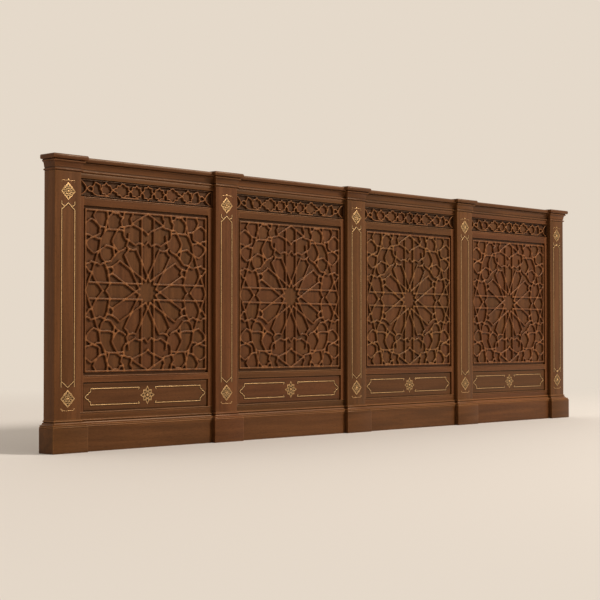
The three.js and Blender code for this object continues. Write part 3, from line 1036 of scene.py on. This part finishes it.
def fielded(work, low, high, margin, drop, tone):
    x0, y0, z0, x1, y1, z1 = (*low, *high)
    rings = [(0, y1), (0, y0 + drop), (margin, y0 + drop)]
    rings += [(margin + 0.6 * mm, y0 + 0.4 * mm), (margin + 1.2 * mm, y0)]
    points = []
    for edge, y in rings:
        left, right, foot, head = x0 + edge, x1 - edge, z0 + edge, z1 - edge
        points += [(left, y, foot), (right, y, foot), (right, y, head), (left, y, head)]
    faces = [(3, 2, 1, 0), (16, 17, 18, 19)]
    for k in range(4):
        faces += [(4 * k + i, 4 * k + (i + 1) % 4, 4 * k + 4 + (i + 1) % 4, 4 * k + 4 + i) for i in range(4)]
    work.add(points, faces, tone)


for bay in bayNumbers:
    chance = random.Random(200 + bay)
    leftPost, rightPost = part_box(f"post_{bay}")[1].x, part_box(f"post_{bay + 1}")[0].x
    fit = frameShape["fit"]

    for part, bead in (("mid_rail", True), ("frieze_rail", True)):
        low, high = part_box(f"{part}_{bay}")
        work = Work()
        levels = railLevels(low.z, high.z, False, bead)
        run(work, levels, low.y, high.y, straight(low.x), straight(high.x), chance.random())
        work.piece(f"{part}_moulded_{bay}", f"{part}_{bay}", [levelWalnut], 30)
    railFace = low.y

    for side in ("left", "right"):
        low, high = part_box(f"stile_{side}_{bay}")
        work = Work()
        levels = easedEnds(low.z, high.z, frameShape["endEase"])
        block(work, levels, low, high, chance.random(), frameShape["stileEase"])
        work.piece(f"stile_{side}_eased_{bay}", f"stile_{side}_{bay}", [uprightWalnut])

    low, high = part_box(f"base_rail_{bay}")
    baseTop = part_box(f"plinth_block_{bay}")[1].z
    work = Work()
    levels = plinthLevels(low.z, baseTop)
    leftReach, rightReach = plinths[bay], plinths[bay + 1]
    run(work, levels, railFace, high.y, lambda z: leftPost + reachAt(leftReach, z) + fit,
        lambda z: rightPost - reachAt(rightReach, z) - fit, chance.random(), plinthShape["plainTop"] * mm)
    run(work, railLevels(baseTop + frameShape["railGap"], high.z, False, True), railFace, high.y,
        straight(leftPost + fit), straight(rightPost - fit), chance.random())
    work.piece(f"base_moulded_{bay}", f"base_rail_{bay}", [levelWalnut, highlightedBandWalnut], 30)

    low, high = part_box(f"cornice_{bay}")
    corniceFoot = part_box(f"capital_{bay}")[0].z
    work = Work()
    leftReach, rightReach = capitals[bay], capitals[bay + 1]
    levels = capitalLevels(corniceFoot, high.z, capitalShape["bayTorusFoot"])
    run(work, levels, railFace, high.y, lambda z: leftPost + reachAt(leftReach, z) + fit,
        lambda z: rightPost - reachAt(rightReach, z) - fit, chance.random())
    run(work, railLevels(low.z, corniceFoot - frameShape["railGap"], False, False), railFace, high.y,
        straight(leftPost + fit), straight(rightPost - fit), chance.random())
    work.piece(f"cornice_moulded_{bay}", f"cornice_{bay}", [levelWalnut], 30)

    low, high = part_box(f"dado_panel_{bay}")
    work = Work()
    fielded(work, low, high, frameShape["fieldMargin"], frameShape["fieldDrop"], chance.random())
    work.piece(f"dado_field_{bay}", f"dado_panel_{bay}", [dadoWalnut], frameShape["fieldCrease"])
print("bays ready")

# The gilded inlay
inlayLines = {
    "Width": 4.2 * mm, "Top Width": 2.8 * mm, "Depth": 0.8 * mm, "Bend Radius": 0.4 * mm,
    "Edge Radius": 0.45 * mm, "Sunk": 0.4 * mm, "Wander": 0.0, "Seed": 0,
}
# painted shade: a wide dark strip laid under each gilded line
shadeStrip = {
    "Width": 10.4 * mm, "Top Width": 10.2 * mm, "Depth": 0.16 * mm, "Edge Radius": 0.02 * mm,
}
plateWork = {
    "thickness": 0.7 * mm,
    "edge": 0.25 * mm,
    "sunk": 0.2 * mm,
    "borderShare": 0.88,
    "gapShare": 0.025,
    "shadeBedShare": 1.03,
    "shadeBedRise": 0.5 * mm,
    "innerSunk": 0.15 * mm,
    "flowerRise": 0.4 * mm,
}
postInlay = {
    "half": 32.5, "low": 288, "high": 980, "apexLow": 263, "apexHigh": 1005.5,
    "diamondLow": 217.5, "diamondHigh": 1052.5, "diamondHalf": 36, "diamondEye": 9.4 * mm,
    "diamondHoles": [  # place in parts of the half width, length, width and turn
        (0.62, 0, 9.4, 7.6, 0), (0.385, 0, 5.4, 5.2, 0), (0.415, 0.215, 7.0, 7.2, 0.78),
        (0.215, 0.415, 7.0, 7.2, 0.78),
    ],
    "bracketWidthHigh": 1.3 * mm, "bracketWidthLow": 2.2 * mm, "bracketDot": 2.6 * mm,
    "dotHeight": 1099.5, "dotRadius": 4.4, "bracketLow": 170, "bracketHigh": 1097,
}
dadoInlay = {
    "lineHigh": 33.5, "cornerAt": 302, "notch": (316, 11), "tip": 331, "innerEnd": 43,
    "starPoint": 39.5, "starLobe": 32.5, "starNotch": 24.5, "starEye": 11.4 * mm,
    "pointHole": (23.0, 12.6, 8.2), "lobeHole": (18.9, 9.6, 8.2),
}
smallFlower = {
    "Petals": 8, "Petal Middle": 5.4 * mm, "Petal Length": 6.0 * mm, "Petal Width": 3.2 * mm,
    "Petal Rise": 2.6 * mm, "Boss Radius": 4.2 * mm, "Boss Rise": 2.8 * mm, "First Turn": math.pi / 8,
}


def drawnLines(work, runs, face, width=None, extend=0.0):
    values = dict(inlayLines, **{"Board Face": face, "Finish": gilding})
    if width:
        values.update({"Width": width, "Top Width": width * 0.6})
    work.addMesh(runTree(straps, lineMesh(runs, extend), values))
    # painted shade: each plain line gets a dark strip beneath it
    if not width:
        values.update(shadeStrip)
        work.addMesh(runTree(straps, lineMesh(runs, extend), values), finish=1)


def plate(work, outlines, x, z, face, finish=0):
    drawing = bpy.data.curves.new("plate", "CURVE")
    drawing.dimensions = "2D"
    drawing.fill_mode = "BOTH"
    drawing.extrude = plateWork["thickness"] / 2
    drawing.bevel_depth = plateWork["edge"]
    drawing.bevel_resolution = 1
    drawing.offset = -plateWork["edge"]
    for outline in outlines:
        spline = drawing.splines.new("POLY")
        spline.points.add(len(outline) - 1)
        for point, (a, b) in zip(spline.points, outline):
            point.co = (a, b, 0, 1)
        spline.use_cyclic_u = True
    holder = bpy.data.objects.new("plate", drawing)
    bpy.context.scene.collection.objects.link(holder)
    mesh = bpy.data.meshes.new_from_object(holder.evaluated_get(bpy.context.evaluated_depsgraph_get()))
    bpy.data.objects.remove(holder)
    bpy.data.curves.remove(drawing)
    shell = bmesh.new()
    shell.from_mesh(mesh)
    bmesh.ops.remove_doubles(shell, verts=shell.verts, dist=1e-6)
    shell.to_mesh(mesh)
    shell.free()
    rise = face + plateWork["sunk"] - plateWork["thickness"] / 2
    work.addMesh(mesh, Matrix.Translation((x, rise, z)) @ toUpright, finish=finish)


def bossAt(work, x, z, radius, rise, face):
    shell = bmesh.new()
    bmesh.ops.create_uvsphere(shell, u_segments=14, v_segments=8, radius=1)
    order = Vector((1.0, 7.3, 51.7))  # sorted along this, the same on every run
    shell.verts.sort(key=lambda corner: corner.co.dot(order))
    shell.faces.sort(key=lambda side: side.calc_center_median().dot(order))
    mesh = bpy.data.meshes.new("boss")
    shell.to_mesh(mesh)
    shell.free()
    size = Matrix.Diagonal((radius, radius, rise, 1))
    work.addMesh(mesh, Matrix.Translation((x, face, z)) @ toUpright @ size)


def flowerAt(work, x, z, face, sizes):
    mesh = bpy.data.meshes.new("ground")
    mesh.from_pydata([(0, 0, 0)], [], [])
    work.addMesh(runTree(flower, mesh, dict(sizes, **{"Place": (x, face, z), "Finish": gilding})))


def ringPoints(radius, count):
    turns = [2 * math.pi * k / count for k in range(count)]
    return [(radius * math.cos(a), radius * math.sin(a)) for a in turns]


def almond(x, y, length, width, turn, steps=5):
    made = []
    cos, sin = math.cos(turn), math.sin(turn)
    for k in range(2 * steps):
        a = math.pi * (k % steps) / steps
        way = 1 if k < steps else -1
        u = way * length / 2 * math.cos(a)
        v = way * width / 2 * math.sin(a) ** 1.3 if math.sin(a) > 0 else 0
        made.append((x + u * cos - v * sin, y + u * sin + v * cos))
    return made


def diamondOutlines():
    h = postInlay["diamondHalf"] * mm
    side = [(0, h), (0.40 * h, 0.60 * h), (0.47 * h, 0.60 * h), (0.60 * h, 0.47 * h), (0.60 * h, 0.40 * h)]
    outline, cut = [], [ringPoints(postInlay["diamondEye"], 24)]
    for quarter in range(4):
        a = math.pi / 2 * quarter
        cos, sin = math.cos(a), math.sin(a)
        outline += [(x * cos + y * sin, y * cos - x * sin) for x, y in side]
        cut += [
            almond((x * cos - y * sin) * h, (x * sin + y * cos) * h, long * mm, wide * mm, a + turn)
            for x, y, long, wide, turn in postInlay["diamondHoles"]
        ]
    return [outline] + cut


def starOutlines():
    shape = dadoInlay
    outline, holes = [], [ringPoints(shape["starEye"], 24)]
    for k in range(16):
        radius = shape["starNotch"] if k % 2 else (shape["starPoint"] if k % 4 == 0 else shape["starLobe"])
        a = math.pi * k / 8
        outline.append((radius * mm * math.cos(a), radius * mm * math.sin(a)))
    for k in range(8):
        a = math.pi * k / 4
        reach, long, wide = shape["pointHole"] if k % 2 == 0 else shape["lobeHole"]
        holes.append(almond(reach * mm * math.cos(a), reach * mm * math.sin(a), long * mm, wide * mm, a))
    return [outline] + holes


# A pierced plate inside its own brighter border, on a dark bed of painted shade that shows through the holes
# and round the edge
def inset(outline, share):
    return [(a * share, b * share) for a, b in outline]


def borderedPlate(work, outlines, x, z, face):
    shape = plateWork
    edge, holes = outlines[0], outlines[1:]
    plate(work, [edge, inset(edge, shape["borderShare"])], x, z, face)
    inner = inset(edge, shape["borderShare"] - shape["gapShare"])
    plate(work, [inner] + holes, x, z, face + shape["innerSunk"], 2)
    plate(work, [inset(edge, shape["shadeBedShare"])], x, z, face + shape["shadeBedRise"], 1)
    flowerAt(work, x, z, face - shape["flowerRise"], smallFlower)


def postFrameRuns(x):
    s = postInlay
    half, low, high = s["half"], s["low"], s["high"]
    frameRun = [
        (-half, low), (-half, high), (-half + 7, high + 3.5), (0, s["apexHigh"]), (half - 7, high + 3.5),
        (half, high), (half, low), (0, s["apexLow"]), (-half, low),
    ]
    runs = [frameRun]
    for way in (-1, 1):
        runs.append([(way * half, high + 33), (way * half, high + 19), (way * 20, high + 12)])
        runs.append([(way * half, low), (way * half, low - 24)])
    return [[(x + a * mm, b * mm) for a, b in knots] for knots in runs]


for post in postNumbers:
    low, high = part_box(f"post_{post}")
    x, face = (low.x + high.x) / 2, low.y
    s = postInlay
    work = Work()
    drawnLines(work, postFrameRuns(x), face)
    half, top, bottom = s["half"], s["bracketHigh"], s["bracketLow"]
    thin = [
        [(-half, top - 9), (-half, top), (half, top), (half, top - 9)],
        [(-half, bottom + 6), (-half + 4, bottom), (half - 4, bottom), (half, bottom + 6)],
    ]
    for knots, width in zip(thin, (s["bracketWidthHigh"], s["bracketWidthLow"])):
        drawnLines(work, [[(x + a * mm, b * mm) for a, b in knots]], face, width)
    for height in (s["diamondLow"], s["diamondHigh"]):
        borderedPlate(work, diamondOutlines(), x, height * mm, face)
    bossAt(work, x, s["dotHeight"] * mm, s["dotRadius"] * mm, 2.0 * mm, face)
    for way in (-1, 1):
        bossAt(work, x + way * half * mm, (bottom + 6) * mm, s["bracketDot"], 1.4 * mm, face)
    work.piece(f"post_gilding_{post}", f"post_inlay_{post}", [gilding, shadeStripWalnut, oldGilding])

for bay in bayNumbers:
    low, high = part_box(f"dado_panel_{bay}")
    starLow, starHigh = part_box(f"dado_inlay_{bay}")
    x, z, face = (low.x + high.x) / 2, starLow.z / 2 + starHigh.z / 2, low.y
    s = dadoInlay
    innerEnd, cornerAt, lineHigh, (notchX, notchZ) = s["innerEnd"], s["cornerAt"], s["lineHigh"], s["notch"]
    knots = [
        (innerEnd + 6, lineHigh - 8.5), (innerEnd, lineHigh), (cornerAt, lineHigh), (cornerAt, 21),
        (cornerAt + 9, 17), (notchX - 2, notchZ - 1), (notchX + 4, notchZ - 1), (s["tip"], 0),
    ]
    knots += [(a, -b) for a, b in reversed(knots[:-1])]
    work = Work()
    drawnLines(work, [[(x + way * a * mm, z + b * mm) for a, b in knots] for way in (1, -1)], face)
    borderedPlate(work, starOutlines(), x, z, face)
    work.piece(f"dado_gilding_{bay}", f"dado_inlay_{bay}", [gilding, shadeStripWalnut, oldGilding])
print("inlay ready")
